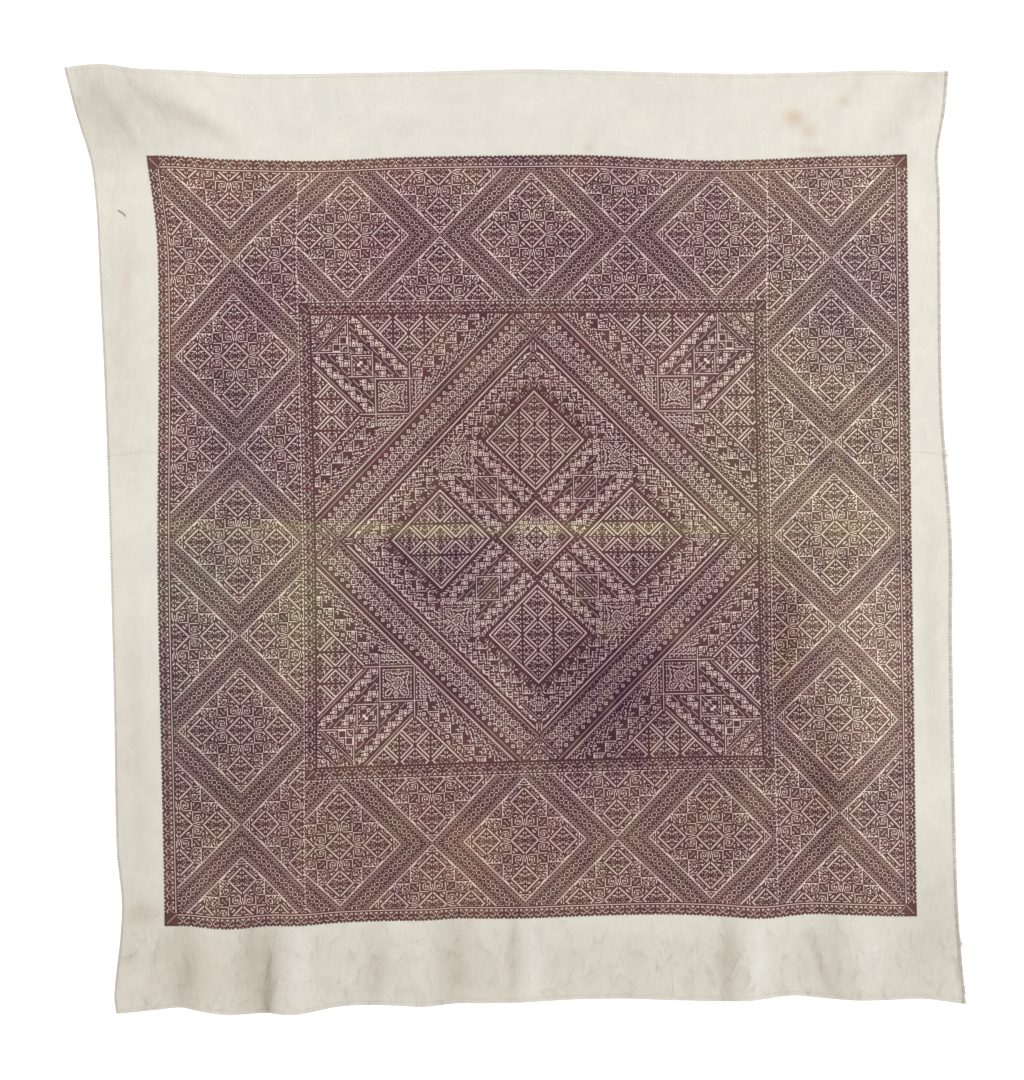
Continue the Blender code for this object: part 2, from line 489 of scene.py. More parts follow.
def work_motifs(board, rows, lines=()):
    """Works tables of shapes and lines over the filling, with silk round each bare mark."""
    motifs = np.full(board.shape, -1)
    for row in rows:
        for i in range(row.count):
            stamp(motifs, row.shape, row.x + i * row.step_x, row.y + i * row.step_y)
    for line in lines:
        stroke(motifs, *line)
    bare = motifs == BARE
    board[with_margin(bare) | (motifs == SILK)] = SILK
    board[bare] = BARE


# One quarter of the large diamond, from its centre: a checker of curled octagons and dark squares.
# The other half of the quarter is its mirror
LARGE_ROWS = (
    Row("octagon", 17, 7),
    Row("wide octagon", 27, 15),
    Row("small dark square", 15, 16),
    Row("small dark square", 24, 24),
    Row("upright bar", 47, 3),
    Row("dot", 43, 7, -2, 3, 2),
)
LARGE_LINES = table(
    "x y to_x to_y",
    (14, 14, 17, 17), (22, 22, 25, 25), (34, 17, 37, 14), (13, 1, 18, 0),
)


def paint_large_quarter():
    """The large diamond's inside."""
    small_at, small_reach = 33, 13
    above, aside = np.mgrid[0:HALF_PERIOD, 0:HALF_PERIOD]
    board = curls(aside + 1, above + 1)
    ring = np.abs(aside - small_at) + above
    middle = aside + above
    board[(ring <= small_reach + 1) | (middle <= small_reach + 1) | (middle >= 51)] = SILK
    work_motifs(board, LARGE_ROWS, LARGE_LINES)
    board = np.where(ring <= small_reach, look_up(SMALL, above, np.abs(aside - small_at)), board)
    # Upright ribs stay upright in the small diamonds on the other axis too
    from_small = np.abs(above - small_at)
    turned = look_up(SMALL, from_small, aside)
    mirrored = np.where(aside + from_small <= small_reach, turned, mirror_diagonal(board))
    return np.where(middle <= small_reach, look_up(SMALL, above, aside), mirrored)


LARGE = paint_large_quarter()


def diamond_lattice(across, along, upright):
    """Columns and bands of large diamonds with their framing band of corner-to-corner squares."""
    a = np.abs(across)
    b = np.abs((along + HALF_PERIOD) % (2 * HALF_PERIOD) - HALF_PERIOD)
    # The band's middle line and half its width, and where the next large diamond is centred
    band_at, band_reach = 67, 15
    next_at = 2 * band_at - HALF_PERIOD
    beyond = a + b > band_at + band_reach
    inner_a = np.where(beyond, np.abs(next_at - a), a)
    inner_b = np.where(beyond, HALF_PERIOD - b, b)
    marks = look_up(LARGE, inner_b, inner_a) if upright else look_up(LARGE, inner_a, inner_b)
    reach = np.abs(a + b - band_at)
    line = np.isin(reach, (band_reach, 14, 10)) | (np.isin(reach, (12, 8)) & (a % 2 == 0))
    # A chain of small dark squares stands corner to corner, each in a box of bare stitches
    place = (a - b + 1) // 8
    from_box_a = np.abs(a - 35 - 4 * place)
    from_box_b = np.abs(b - 32 + 4 * place)
    further = np.maximum(from_box_a, from_box_b)
    nearer = np.minimum(from_box_a, from_box_b)
    beads = (further == 4) & (nearer == 1) & (reach < 7)
    bare = line | ((further == 2) & (nearer < 2)) | beads
    return np.where(reach <= band_reach, np.where(bare, BARE, SILK), marks)


def edge_marks(depth, along):
    """The border's marks at a depth from its outer side."""
    repeat = EDGE.shape[1]
    return look_up(EDGE, depth, (along + repeat // 2) % repeat)


def small_lattice(across, down):
    """Small diamonds set corner to corner, 27 stitches apart."""
    pitch = 27
    u = np.abs((across + pitch / 2) % pitch - pitch / 2)
    v = np.abs((down + pitch / 2) % pitch - pitch / 2)
    # The diamonds between have their outline two stitches off the others'
    between = u + v > pitch / 2
    u = np.where(between, pitch // 2 - u, u).astype(int)
    v = np.where(between, pitch // 2 + 1 - v, v).astype(int)
    return look_up(SMALL, v, u)


def sub_squares(x, y):
    """Small squares side by side, every other one turned over."""
    pitch = len(SUB_SQUARE)
    u = x % pitch
    v = y % pitch
    turned = (x // pitch + y // pitch) % 2 == 1
    return SQUARE[np.where(turned, u, v), np.where(turned, v, u)]


# The square in the middle: one quarter, from its outer corner, above the diagonal. The rest is its mirror
STRIP_ROWS = (
    Row("eye", 167, -33, -5, 5, 17),
    Row("posy", 171, -30, -10, 10, 9),
    Row("dark square", 179, -31, -10, 10, 9),
    Row("hook", 181, -33, -10, 10, 9),
    Row("long hook", 188, -28, -5, 5, 18),
    Row("hook", 189, -22, -4, 4, 23),
)
# The flower cells' middles
FLOWERS = table("x y", (68, 70), (121, 123))
CORNER_ROWS = (
    Row("eye", 9, 19, 5, -11, 2),
    Row("eye", 28, 30),
    Row("boxed square", 27, 21),
    Row("dot", 26, 12, -3, 3, 7),
    Row("eye", 42, 40, 5, 4, 2),
)
CORNER_LINES = table(
    "x y to_x to_y",
    (31, 0, 31, 34), (0, 16, 16, 0), (2, 32, 32, 2), (18, 3, 23, 8), (23, 8, 29, 2), (32, 34, 52, 34),
    (52, 31, 52, 54), (52, 54, 94, 54), (33, 35, 52, 54), (37, 35, 52, 50), (84, 40, 84, 88),
)
CELL_LINES = table(
    "x y to_x to_y",
    (139, 139, 159, 139), (159, 139, 159, 159), (140, 140, 158, 158), (144, 140, 158, 154),
)
# Inside the great band: a chain of combs, dark squares and arches in step
CHAIN_ROWS = (
    Row("hook", 112, 109, 4, -4, 22),
    Row("comb", 127, 99, 5, -5, 14),
    Row("small dark square", 135, 105, 10, -10, 6),
    Row("arch", 143, 102, 10, -10, 5),
    Row("sprig", 149, 103, 10, -10, 5),
)
# Beads on the great band's inner side and its zigzag on the outer
BAND_ROWS = (
    Row("eye", 89, 92, 5, -5, 19),
    Row("dot", 105, 104, 3, -3, 34),
)
# The stripes that cross at the great diamond's tip
TIP_LINES = table(
    "x y to_x to_y",
    (175, 3, 191, 19), (181, 1, 190, 10), (190, 25, 190, 31), (178, 48, 191, 35),
)


def paint_quarter():
    """The middle square's upper left quarter, centre stitch included."""
    half = CONTENT_HALF
    y, x = np.mgrid[0:half + 1, 0:half + 1]
    # Steps along the diagonal from the outer corner, and aside from it
    s = x + y
    t = x - y
    board = curls(x, y)

    def lay(mask, marks):
        board[mask] = np.broadcast_to(marks, board.shape)[mask]

    # Outside the great band: framed squares beside the diagonal, a lattice in the corner, then a strip
    lay((t < 38) & (t > 2) & (x > 31) & (x < 84), sub_squares(x - 31, y - 4))
    lay((t >= 37) & (s < 129), SILK)
    lay((t > 44) & (s < 124), small_lattice(x - 84, y - 2))
    lay(np.isin(t, (40, 43, 44)) & (s < 126), BARE)
    lay(np.isin(s, (125, 126)) & (t > 43), BARE)
    work_motifs(board, STRIP_ROWS)
    for flower in FLOWERS:
        aside = np.abs(x - flower.x)
        above = np.abs(y - flower.y)
        edge = np.maximum(aside, above)
        lay(edge == 14, SILK)
        lay(edge <= 13, look_up(PETALS, 13 - above, 13 - aside))
    work_motifs(board, CORNER_ROWS, CORNER_LINES)

    # Inside the great band: framed squares on the diagonal, a diamond of small diamonds at the side
    lay((s > 226) & (t < 34) & (x > 138), sub_squares(x - 139, y - 139))
    work_motifs(board, CHAIN_ROWS)
    side_reach = half - x + np.abs(y - 108.5)
    lay(side_reach <= 47, SILK)
    lay(side_reach <= 39, small_lattice(x - half, y - 108))
    lay((side_reach > 41) & (side_reach < 43), BARE)
    work_motifs(board, (), CELL_LINES)
    centre_reach = 2 * half - s
    lay(centre_reach <= 38, SILK)
    lay((centre_reach < 28) & (centre_reach > 12), curls(half - x, half - y))
    lay(np.isin(centre_reach, (32, 31, 28)), BARE)
    lay((centre_reach == 36) & (t % 3 == 0), BARE)
    lay(centre_reach <= 12, look_up(SMALL, half - y, half - x))
    petal = half - x + np.abs(170 - y)
    lay(petal <= 6, SILK)
    lay(np.isin(petal, (5, 0)), BARE)

    # The great band and its motifs
    lay((s > 167) & (s < 219), SILK)
    lay((s > 183) & (s < 207), MOTIF[(y - 90) % len(MOTIF), (x - 95) % len(MOTIF)])
    work_motifs(board, BAND_ROWS)
    lay(np.isin(s, (170, 169, 175, 211, 215, 216)), BARE)
    work_motifs(board, (), TIP_LINES)
    return mirror_diagonal(board)


def from_sides(row, column, low, high):
    """How deep each stitch lies inside a square's nearest side, and its place along that side."""
    beside = np.minimum(column - low, high - column)
    below = np.minimum(row - low, high - row)
    return np.minimum(beside, below), np.where(beside < below, row - CENTRE, column - CENTRE)


def paint_field():
    """Every stitch place of the worked field: rows down, columns across."""
    row, column = np.mgrid[0:STITCHES, 0:STITCHES]
    first, last = 0, STITCHES - 1
    column_middle, far_middle = 67, 587
    foot_middle = 313
    before, beyond = column < SQUARE_START, column > SQUARE_END
    field = np.select(
        [before, beyond, row < SQUARE_START, row > SQUARE_END],
        [
            diamond_lattice(column - column_middle, row - CENTRE, True),
            diamond_lattice(column - far_middle, row - CENTRE, True),
            diamond_lattice(row - column_middle, column - CENTRE, False),
            diamond_lattice(row - far_middle, column - foot_middle, False),
        ],
        SILK,
    )

    # The middle square: a border, then the quarter mirrored to all four sides
    ring_depth, ring_along = from_sides(row, column, SQUARE_START, SQUARE_END)
    ring = np.where(ring_depth >= 9, SILK, edge_marks(8 - ring_depth, ring_along))
    from_side = np.clip(CONTENT_HALF - np.abs(column - CENTRE), 0, CONTENT_HALF)
    from_top = np.clip(CONTENT_HALF - np.abs(row - CENTRE), 0, CONTENT_HALF)
    square = np.where(ring_depth <= BORDER_DEPTH, ring, paint_quarter()[from_top, from_side])
    field = np.where(ring_depth >= 0, square, field)

    # Dotted lines between the lattices and the square
    line_before, line_beyond = SQUARE_START - 1, SQUARE_END + 1
    column_line = np.isin(column, (line_before, line_beyond))
    band_line = np.isin(row, (line_before, line_beyond)) & (column >= line_before) & (column <= line_beyond)
    dotted = (row + column) % 3 > 0
    field = np.where((column_line | band_line) & dotted, BARE, field)

    depth, along = from_sides(row, column, first, last)
    field = np.where(depth <= BORDER_DEPTH, edge_marks(depth, along), field)

    # Solid corner squares with one bare diagonal
    for size, low, high in ((11, first, last), (9, SQUARE_START, SQUARE_END)):
        for over in (column - low, high - column):
            for down in (row - low, high - row):
                corner = (over >= 0) & (down >= 0) & (over < size) & (down < size)
                diagonal = (over == down) & (over >= 2) & (over <= size - 2)
                field = np.where(corner, np.where(diagonal, BARE, SILK), field)
    return field


def merge_runs(silk):
    """Covers the silk places with blocks of stitches, none longer or taller than a few stitches."""
    longest = 5
    blocks = []
    left = silk.copy()
    rows, columns = left.shape
    for row in range(rows):
        column = 0
        line = left[row]
        while column < columns:
            if not line[column]:
                column += 1
                continue
            wide = 1
            while wide < longest and column + wide < columns and line[column + wide]:
                wide += 1
            tall = 1
            while tall < longest and row + tall < rows and left[row + tall, column:column + wide].all():
                tall += 1
            left[row:row + tall, column:column + wide] = False
            blocks.append((row, column, tall, wide))
            column += wide
    return np.array(blocks)


SILK_OVERHANG = 0.13


def silk_spread(silk, blocks):
    """How far each block of floss spreads over bare stitches beyond its top, left, foot and right."""
    # Running totals of the silk count any block of places in four look-ups
    totals = np.zeros((silk.shape[0] + 3, silk.shape[1] + 3))
    totals[2:-1, 2:-1] = np.cumsum(np.cumsum(silk, axis=0), axis=1)
    totals[-1] = totals[-2]
    totals[:, -1] = totals[:, -2]
    top = blocks[:, 0] + 1
    left = blocks[:, 1] + 1
    foot = top + blocks[:, 2]
    right = left + blocks[:, 3]
    spreads = []
    for from_row, to_row, from_column, to_column in (
        (top - 1, top, left, right),
        (top, foot, left - 1, left),
        (foot, foot + 1, left, right),
        (top, foot, right, right + 1),
    ):
        found = (totals[to_row, to_column] - totals[from_row, to_column]
                 - totals[to_row, from_column] + totals[from_row, from_column])
        spreads.append(np.where(found == 0, SILK_OVERHANG, 0.0))
    return np.stack(spreads, axis=1)


def to_linear(colour):
    """sRGB hex colour as linear red, green, blue and alpha."""
    parts = [int(colour[i:i + 2], 16) / 255 for i in (1, 3, 5)]
    parts = [p / 12.92 if p <= 0.04045 else ((p + 0.055) / 1.055) ** 2.4 for p in parts]
    return np.array((*parts, 1.0))


# Where the dye has turned violet, khaki or pale, and what the bare cotton between the stitches looks like;
# two rows are painted shade along the crease on the right and one is painted light along the right foot ridge
SILK_BROWN = "#583435"
COTTON_IN_FIELD = "#c9b4ac"
# The colours are as they look in the room; these turn them into the thread's and the cotton's own
SILK_GAIN = np.array((1.30, 1.25, 1.30, 1.0))
BARE_GAIN = np.array((1.63, 1.68, 1.71, 1.0))
DYE_PATCHES = table(
    "name x drop half_width half_drop silk bare strength",
    ("top border", 0.03, 0.14, 0.8, 0.04, "#6b483c", "#d2bcb0", 0.7),
    ("ochre at the top left", -0.4, 0.16, 0.22, 0.07, "#6d4e3d", "#d3bdab", 0.6),
    ("foot border", 0.05, 1.32, 0.8, 0.04, "#60403a", "#cbb2a7", 0.6),
    ("brown foot", -0.06, 1.2, 0.4, 0.14, "#5a362e", "#bb9f95", 0.6),
    ("olive at the lower left", -0.5, 1.22, 0.09, 0.16, "#564234", "#bfaa96", 0.45),
    ("left column edge", -0.54, 0.4, 0.05, 0.3, "#6a4c40", "#d0b9ac", 0.55),
    ("right column, upper half", 0.52, 0.55, 0.2, 0.22, "#6a5744", "#d8cbb6", 0.7),
    ("right column, lower half", 0.56, 0.93, 0.08, 0.23, "#7b6153", "#e3d2c2", 0.8),
    ("pale at the right of the line", 0.51, 0.7, 0.1, 0.1, "#7a6852", "#e0d2bb", 0.5),
    ("pale top right corner", 0.56, 0.165, 0.06, 0.065, "#7b6055", "#e6d0c5", 0.6),
    ("rose at the top right", 0.29, 0.165, 0.1, 0.05, "#69494c", "#dbbfbd", 0.4),
    ("rose at the top left", -0.25, 0.165, 0.1, 0.05, "#6d4e49", "#d9beb5", 0.4),
    ("rose above the middle", -0.05, 0.465, 0.2, 0.055, "#654544", "#cfb3ab", 0.4),
    ("rose right of the middle", 0.27, 0.47, 0.09, 0.09, "#6b4b4a", "#d6bab3", 0.4),
    ("plum at the left", -0.424, 0.515, 0.05, 0.09, "#3a2027", "#ab9094", 0.7),
    ("wine at the foot", -0.23, 1.22, 0.14, 0.08, "#4c2b2d", "#b2948f", 0.5),
    ("ochre at the foot", -0.05, 1.22, 0.06, 0.08, "#6a4b38", "#cdb49f", 0.45),
    # Painted shade along the crease on the right, in both silk and cotton
    ("dark fold on the right", 0.44, 0.92, 0.024, 0.15, "#4a2e20", "#b3947f", 0.75),
    ("dark fold lower on the right", 0.5, 1.11, 0.026, 0.09, "#4a2e20", "#b3947f", 0.75),
    # Painted light along the right foot ridge
    ("bright strip on the right", 0.382, 1.16, 0.014, 0.11, "#7a6352", "#dccbbc", 0.4),
    ("grey violet at the top right", 0.55, 0.33, 0.09, 0.1, "#513a42", "#c6afb0", 0.55),
    ("ochre at the top right", 0.42, 0.2, 0.14, 0.06, "#6a4f42", "#d6c1b4", 0.45),
    ("violet at the left", -0.37, 0.355, 0.065, 0.07, "#42202e", "#b8969d", 0.7),
    ("blue violet at the left", -0.42, 0.62, 0.065, 0.1, "#412635", "#b196a0", 0.75),
    ("wine left of the top", -0.17, 0.26, 0.07, 0.1, "#4a2230", "#c09da0", 0.65),
    ("violet at the top", 0.01, 0.125, 0.06, 0.035, "#402239", "#bb9fab", 0.7),
    ("violet right of the top", 0.17, 0.26, 0.13, 0.11, "#431c34", "#bb98a2", 0.65),
    ("wine in the middle", 0.01, 0.55, 0.22, 0.16, "#4d2a2c", "#b29590", 0.75),
    ("blue violet under line", -0.1, 0.785, 0.1, 0.06, "#381c2d", "#a98c97", 0.85),
    ("violet left of middle", -0.13, 0.92, 0.14, 0.12, "#43262d", "#b39598", 0.6),
    ("great violet stain", 0.18, 0.96, 0.15, 0.15, "#38122a", "#a07b88", 0.85),
    ("darkest violet", 0.155, 0.97, 0.07, 0.1, "#2c0e20", "#9c7884", 0.8),
    ("khaki green on the left", -0.32, 0.83, 0.06, 0.1, "#6e6248", "#d2c8a8", 0.75),
    ("grey green on the left", -0.5, 0.8, 0.11, 0.12, "#524b3f", "#bab29f", 0.75),
    ("grey at the left", -0.52, 1.0, 0.09, 0.1, "#453837", "#ae9f9a", 0.6),
    ("green right of the line", 0.36, 0.66, 0.1, 0.07, "#6c5f46", "#d4c9a9", 0.35),
    ("dim at the lower left", -0.42, 1.1, 0.09, 0.13, "#4a3231", "#b0988f", 0.55),
    ("dim right of the foot", 0.32, 1.16, 0.09, 0.1, "#54352f", "#b89c92", 0.55),
    ("wine right of the middle", 0.25, 0.8, 0.14, 0.1, "#4f2c2f", "#b79894", 0.5),
    ("faded line", 0.0, 0.716, 1.1, 0.011, "#776a4d", "#d2c8a6", 0.6),
)

# Marks on the bare cotton: stains, patches that are darker, painted shade in the foot's troughs, at two
# corners and down the left margin, and painted light on the foot's ridges
COTTON_WHITE = "#ece8dd"
COTTON_MARKS = table(
    "name x drop half_width half_drop colour strength",
    # These make the cotton darker at the lower left, along the foot and at the top left
    ("grime at the lower left", -0.6, 1.2, 0.1, 0.35, "#d6cfc3", 0.55),
    ("grime on the left foot", -0.45, 1.405, 0.16, 0.08, "#cfc5b6", 0.45),
    ("grime along the foot", 0.1, 1.405, 0.65, 0.09, "#dad2c5", 0.6),
    ("grime on the centre foot", -0.06, 1.4, 0.1, 0.05, "#cdc2b3", 0.15),
    ("grime on the right foot", 0.6, 1.4, 0.09, 0.07, "#d6cec1", 0.4),
    # Painted shade down the left margin
    ("grime down the left margin", -0.59, 0.45, 0.06, 0.28, "#dad5c9", 0.4),
    ("grime at the top left", -0.63, 0.1, 0.08, 0.1, "#d9d2c4", 0.45),
    ("shade in the outer left trough", -0.5, 1.41, 0.016, 0.08, "#b3aa9b", 0.35),
    ("shade in the left trough", -0.386, 1.41, 0.02, 0.08, "#b3aa9b", 0.25),
    ("dark line of the left trough", -0.374, 1.42, 0.006, 0.06, "#a89d8c", 0.3),
    ("shade left of the centre", -0.205, 1.4, 0.018, 0.06, "#c3b9aa", 0.35),
    ("shade in the centre trough", -0.074, 1.4, 0.014, 0.08, "#bbb1a1", 0.25),
    ("thin shade at the centre", 0.01, 1.4, 0.007, 0.07, "#bbb1a1", 0.35),
    ("shade left of the right ridge", 0.346, 1.4, 0.014, 0.08, "#b7ad9d", 0.5),
    # Painted light on the ridges of the folds at the foot
    ("clean left ridge", -0.325, 1.4, 0.026, 0.09, "#efece2", 0.7),
    ("clean ridge left of the centre", -0.13, 1.4, 0.018, 0.07, "#ece8dd", 0.5),
    ("clean centre ridge", 0.044, 1.4, 0.014, 0.08, "#efece2", 0.7),
    ("clean right ridge", 0.394, 1.4, 0.018, 0.09, "#f1eee5", 0.8),
    ("clean far right ridge", 0.575, 1.39, 0.03, 0.07, "#efece2", 0.6),
    ("shade at the right foot corner", 0.67, 1.33, 0.05, 0.12, "#cfc9bc", 0.55),
    ("shade at the top left corner", -0.64, 0.06, 0.09, 0.08, "#d0cabd", 0.55),
    ("tea stain", 0.452, 0.07, 0.015, 0.013, "#d9bd9c", 0.62),
    ("tea stain, lower drop", 0.476, 0.09, 0.012, 0.012, "#dabd9b", 0.55),
    ("tea stain, right drop", 0.531, 0.046, 0.007, 0.008, "#d6b898", 0.45),
    ("tea stain by the field", 0.487, 0.122, 0.022, 0.006, "#d8c0a2", 0.45),
    ("faint spot on the top", 0.131, 0.119, 0.01, 0.006, "#dac2a6", 0.4),
    ("streak in the left margin", -0.596, 0.323, 0.008, 0.024, "#dcc6b0", 0.45),
    ("patch at the lower left", -0.569, 1.318, 0.024, 0.017, "#bcae9b", 0.55),
)


def noise_field(x, drop, size, seed):
    """Smooth random values from -1 to 1, with spots of one size."""
    cells = 96
    grid = np.random.default_rng(seed).uniform(-1.0, 1.0, (cells, cells))
    u = (np.asarray(x) + 1.0) / size
    v = (np.asarray(drop) + 0.5) / size
    column = np.floor(u).astype(int)
    row = np.floor(v).astype(int)
    right = soft_step(u - column)
    down = soft_step(v - row)
    corners = [[grid[(row + i) % cells, (column + j) % cells] for j in (0, 1)] for i in (0, 1)]
    return mix(mix(*corners[0], right), mix(*corners[1], right), down)


def patch_share(patch, x, drop):
    """How much of a patch's colour lies at each place, with an uneven rim."""
    uneven = 0.25 * noise_field(x, drop, 0.018, 7)
    reach = ((x - patch.x) / patch.half_width) ** 2 + ((drop - patch.drop) / patch.half_drop) ** 2
    return patch.strength * np.exp(-np.clip(reach + uneven, 0.0, None))


def tint(colours, patches, x, drop, part):
    """Blends a table's colours over the ground colour."""
    for patch in patches:
        share = patch_share(patch, x, drop)[..., None]
        colours = mix(colours, to_linear(getattr(patch, part)), share)
    return colours


SILK_VIOLET = "#3f222c"
SILK_KHAKI = "#6e5a44"
BARE_VIOLET = "#b3939a"
BARE_KHAKI = "#d0bfa4"


def mottle(tones, x, drop, violet, khaki):
    """Small clouds where one skein has faded to khaki and another has stayed violet."""
    cloud = 0.6 * noise_field(x, drop, 0.055, 31) + 0.6 * noise_field(2.0 * x, drop, 0.030, 32)
    tones = mix(tones, to_linear(violet), 0.50 * np.clip(cloud, 0.0, 1.0)[..., None])
    return mix(tones, to_linear(khaki), 0.30 * np.clip(-cloud, 0.0, 1.0)[..., None])


def even_colour(colour, x):
    """One colour at each of many places."""
    return np.broadcast_to(to_linear(colour), np.shape(x) + (4,))


def silk_tone(x, drop):
    """Dye of the silk, uneven from one skein to the next."""
    tones = tint(even_colour(SILK_BROWN, x), DYE_PATCHES, x, drop, "silk")
    tones = mottle(tones, x, drop, SILK_VIOLET, SILK_KHAKI)
    skein = 0.13 * noise_field(x, drop, 0.030, 3) + 0.10 * noise_field(x, 5.0 * drop, 0.06, 4)
    strand = noise_field(x, drop, 0.007, 5)[..., None] * np.array((0.07, -0.06, 0.06, 0.0))
    tones = tones * SILK_GAIN * (1.0 + skein[..., None] + strand)
    tones[..., 3] = 1.0
    return tones


# Painted shade: the cotton is darkened in the hollows of the folds and creases, the more the deeper they are
CREASE_SHADE = "#b5ab9c"
SHADE_IN_FOLDS = 12.0
SHADE_IN_CREASES = 70.0


def painted_crease_shade(x, drop):
    """Painted shade in the hollows of the folds, and darker still in the fine creases."""
    share = np.zeros(np.shape(x))
    for folds, shade_weight in ((FOLDS, SHADE_IN_FOLDS), (CREASES, SHADE_IN_CREASES)):
        for fold in folds:
            share = share + shade_weight * np.clip(-fold_height(fold, x, drop), 0.0, None)
    return np.clip(share, 0.0, 0.6)[..., None]


def cotton_tone(x, drop, in_field=0.0):
    """Colour of the cotton: off-white with its marks, painted shade and painted light, pinkish between the
    stitches.
    """
    plain = tint(even_colour(COTTON_WHITE, x), COTTON_MARKS, x, drop, "colour")
    # Painted shade in the hollows of the folds and creases
    plain = mix(plain, to_linear(CREASE_SHADE), painted_crease_shade(x, drop))
    cloudy = 0.020 * noise_field(x, drop, 0.06, 11) + 0.012 * noise_field(x, drop, 0.02, 12)
    plain = plain * (1.0 + cloudy[..., None])
    worked = tint(even_colour(COTTON_IN_FIELD, x), DYE_PATCHES, x, drop, "bare")
    worked = mottle(worked, x, drop, BARE_VIOLET, BARE_KHAKI)
    tones = mix(plain, worked * BARE_GAIN, np.asarray(in_field)[..., None])
    tones[..., 3] = 1.0
    return tones


def add_node(tree, kind, settings=None, **links):
    """Adds one shader node, sets its values and links its inputs."""
    node = tree.nodes.new(kind)
    for name, value in (settings or {}).items():
        if name in node.inputs:
            node.inputs[name].default_value = value
        else:
            setattr(node, name, value)
    for name, source in links.items():
        tree.links.new(source, node.inputs[name.replace("_", " ")])
    return node


def add_up(tree, first, second):
    """Two grains laid over each other."""
    total = add_node(tree, "ShaderNodeMath", {"operation": "ADD"})
    tree.links.new(first, total.inputs[0])
    tree.links.new(second, total.inputs[1])
    return total.outputs["Value"]


def feed_shader(tree, **links):
    """Links a material's colour and relief to its shader."""
    for name, source in links.items():
        tree.links.new(source, tree.nodes["Principled BSDF"].inputs[name.replace("_", " ")])


def new_material(name, colour, roughness, **values):
    """A Principled material with its own plain values."""
    material = bpy.data.materials.new(name)
    material.use_nodes = True
    shader = material.node_tree.nodes["Principled BSDF"]
    shader.inputs["Base Color"].default_value = to_linear(colour)
    shader.inputs["Roughness"].default_value = roughness
    for label, value in values.items():
        shader.inputs[label.replace("_", " ")].default_value = value
    return material


def varied_colour(tree, base, grain, low, high, least=0.0, most=1.0):
    """The base colour made a little lighter and darker by a grain."""
    settings = {"From Min": least, "From Max": most, "To Min": low, "To Max": high}
    share = add_node(tree, "ShaderNodeMapRange", settings, Value=grain)
    scale = add_node(tree, "ShaderNodeVectorMath", {"operation": "SCALE"}, Vector=base)
    tree.links.new(share.outputs["Result"], scale.inputs["Scale"])
    return scale.outputs["Vector"]


def stretched_grain(tree, scale, spacing, detail=2.0, **kind):
    """Noise in the cloth's own place, with its own size along each way."""
    place = add_node(tree, "ShaderNodeTexCoord")
    mapping = add_node(tree, "ShaderNodeMapping", {"Scale": scale}, Vector=place.outputs["Object"])
    noise = add_node(tree, "ShaderNodeTexNoise", {**kind, "Scale": 1.0 / spacing, "Detail": detail},
                     Vector=mapping.outputs["Vector"])
    return noise.outputs["Fac"]


def make_cotton():
    """Plain-woven undyed cotton, washed soft: matt, off-white, with slubs along both threads."""
    material = new_material("undyed_cotton", "#e6e2d8", 0.92, Sheen_Weight=0.08, Specular_IOR_Level=0.25)
    tree = material.node_tree
    tone = add_node(tree, "ShaderNodeAttribute", {"attribute_name": "cloth_tone"})
    # Slubs are 1 to 2 mm thick and some 25 mm long; the 0.8 mm weave is drawn twice as coarse, to show
    level_slubs = stretched_grain(tree, (0.08, 1.0, 1.0), 0.0022)
    upright_slubs = stretched_grain(tree, (1.0, 1.0, 0.08), 0.0022)
    weave = stretched_grain(tree, (1.0, 1.0, 1.0), 0.0016, 1.0)
    slubs = add_up(tree, level_slubs, upright_slubs)
    relief = add_up(tree, slubs, weave)
    # Washing has left soft crumples some 30 mm across, with sharper crease lines 38 mm apart, worn pale
    crumples = stretched_grain(tree, (1.0, 1.0, 0.6), 0.030, 3.0)
    softly = add_node(tree, "ShaderNodeBump", {"Strength": 0.60, "Distance": 0.012}, Height=crumples)
    creases = stretched_grain(tree, (1.0, 1.0, 0.7), 0.038, 3.0, noise_type="RIDGED_MULTIFRACTAL", Offset=1.0)
    # The foot is the most creased; the rest has hung out nearly smooth
    place = add_node(tree, "ShaderNodeTexCoord")
    height = add_node(tree, "ShaderNodeSeparateXYZ", Vector=place.outputs["Object"])
    settings = {"From Min": -1.27, "From Max": -1.36, "To Min": 0.12, "To Max": 0.65}
    strength = add_node(tree, "ShaderNodeMapRange", settings, Value=height.outputs["Z"])
    crumpled = add_node(tree, "ShaderNodeBump", {"Distance": 0.006}, Height=creases,
                        Strength=strength.outputs["Result"], Normal=softly.outputs["Normal"])
    woven = varied_colour(tree, tone.outputs["Color"], slubs, 0.94, 1.06)
    colour = varied_colour(tree, woven, creases, 0.985, 1.025, 0.6, 1.7)
    bump = add_node(tree, "ShaderNodeBump", {"Strength": 0.35, "Distance": 0.0006},
                    Height=relief, Normal=crumpled.outputs["Normal"])
    feed_shader(tree, Base_Color=colour, Normal=bump.outputs["Normal"])
    return material


def make_silk():
    """Floss silk in flat untwisted strands: a soft shine along the stitch over a dull brown-mauve dye."""
    material = new_material("mauve_floss_silk", "#5a3d3c", 0.55, Sheen_Weight=0.06, Sheen_Roughness=0.4,
                            Specular_IOR_Level=0.3)
    tree = material.node_tree
    tone = add_node(tree, "ShaderNodeAttribute", {"attribute_name": "dye_tone"})
    # Strands lie across the counted rows, one to each 1.8 mm stitch
    strands = stretched_grain(tree, (1.0, 1.0, 0.25), 0.0018)
    colour = varied_colour(tree, tone.outputs["Color"], strands, 0.78, 1.22)
    bump = add_node(tree, "ShaderNodeBump", {"Strength": 0.6, "Distance": 0.0005}, Height=strands)
    feed_shader(tree, Base_Color=colour, Normal=bump.outputs["Normal"])
    return material


